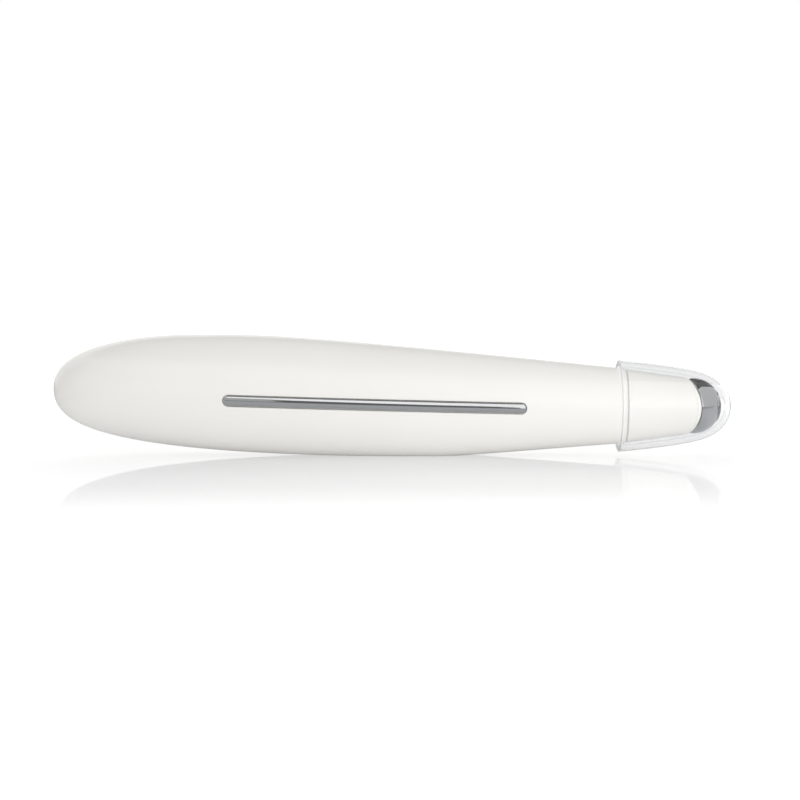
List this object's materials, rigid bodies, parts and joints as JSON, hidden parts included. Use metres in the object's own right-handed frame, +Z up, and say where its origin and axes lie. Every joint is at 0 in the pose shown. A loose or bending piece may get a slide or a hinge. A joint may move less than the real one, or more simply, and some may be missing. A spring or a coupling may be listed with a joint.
{
  "type": "eye massager",
  "caption": "Pen-shaped teardrop eye massager with a hand electrode strip, a domed vibrating chrome tip under a clear push-on cap, a power button and a battery bay.",
  "frame": {"origin": "under the middle of the length, on the plane that the belly rests on", "axes": "+X from the tail to the massage tip, +Z up from the belly, -Y out through the electrode strip, +Y out through the button and the battery cover"},
  "size_m": [0.145, 0.0269, 0.0259],
  "materials": {
    "pearl_white_plastic": "pearl-gloss moulded plastic",
    "grey_plastic": "plain moulded plastic",
    "clear_plastic": "clear moulded plastic",
    "chrome": "bright chrome plating",
    "nickel_steel": "nickel-plated steel",
    "black_rubber": "soft rubber",
    "board_green": "resin board with a green mask",
    "dark_resin": "moulded component bodies",
    "cell_sleeve": "metal can in a plain printed sleeve",
    "red_insulation": "wire insulation",
    "black_insulation": "wire insulation"
  },
  "bodies": {
    "housing": {"battery": "cell_sleeve", "battery_cradle": "grey_plastic", "battery_lead_minus": "black_insulation", "battery_lead_plus": "red_insulation", "board_screw_front": "nickel_steel", "board_screw_tail": "nickel_steel", "circuit_board": "board_green", "control_chip": "dark_resin", "cradle_screw_front": "nickel_steel", "cradle_screw_tail": "nickel_steel", "hand_electrode_strip": "chrome", "head_sleeve": "pearl_white_plastic", "left_shell": "pearl_white_plastic", "massage_tip": "chrome", "motor_can": "nickel_steel", "motor_end_cap": "pearl_white_plastic", "motor_lead_minus": "black_insulation", "motor_lead_plus": "red_insulation", "motor_sleeve": "black_rubber", "neck_seal": "black_rubber", "negative_contact_plate": "nickel_steel", "negative_contact_spring": "nickel_steel", "positive_contact_plate": "nickel_steel", "right_shell": "pearl_white_plastic", "storage_capacitor": "dark_resin", "strip_lead": "black_insulation", "strip_nut_front": "nickel_steel", "strip_nut_tail": "nickel_steel", "tact_switch": "dark_resin", "tip_contact_spring": "nickel_steel", "tip_insulator": "grey_plastic", "tip_lead": "red_insulation"},
    "cap": {"protective_cap": "clear_plastic"},
    "button": {"power_button": "pearl_white_plastic", "switch_plunger": "pearl_white_plastic"},
    "cover": {"battery_cover": "pearl_white_plastic"},
    "rotor": {"motor_shaft": "nickel_steel", "eccentric_weight": "nickel_steel"}
  },
  "joints": [
    {"name": "cap_pull", "type": "slide", "parent": "housing", "child": "cap", "axis": [1, 0, 0], "range_m": [0, 0.03]},
    {"name": "button_press", "type": "slide", "parent": "housing", "child": "button", "axis": [0, -1, 0], "range_m": [0, 0.0005], "stiffness_N_per_m": 2000},
    {"name": "battery_cover_lift", "type": "slide", "parent": "housing", "child": "cover", "axis": [0, 1, 0], "range_m": [0, 0.03]},
    {"name": "rotor_spin", "type": "hinge", "parent": "housing", "child": "rotor", "pos_m": [0.0547, 0, 0.01055], "axis": [1, 0, 0], "continuous": true}
  ]
}
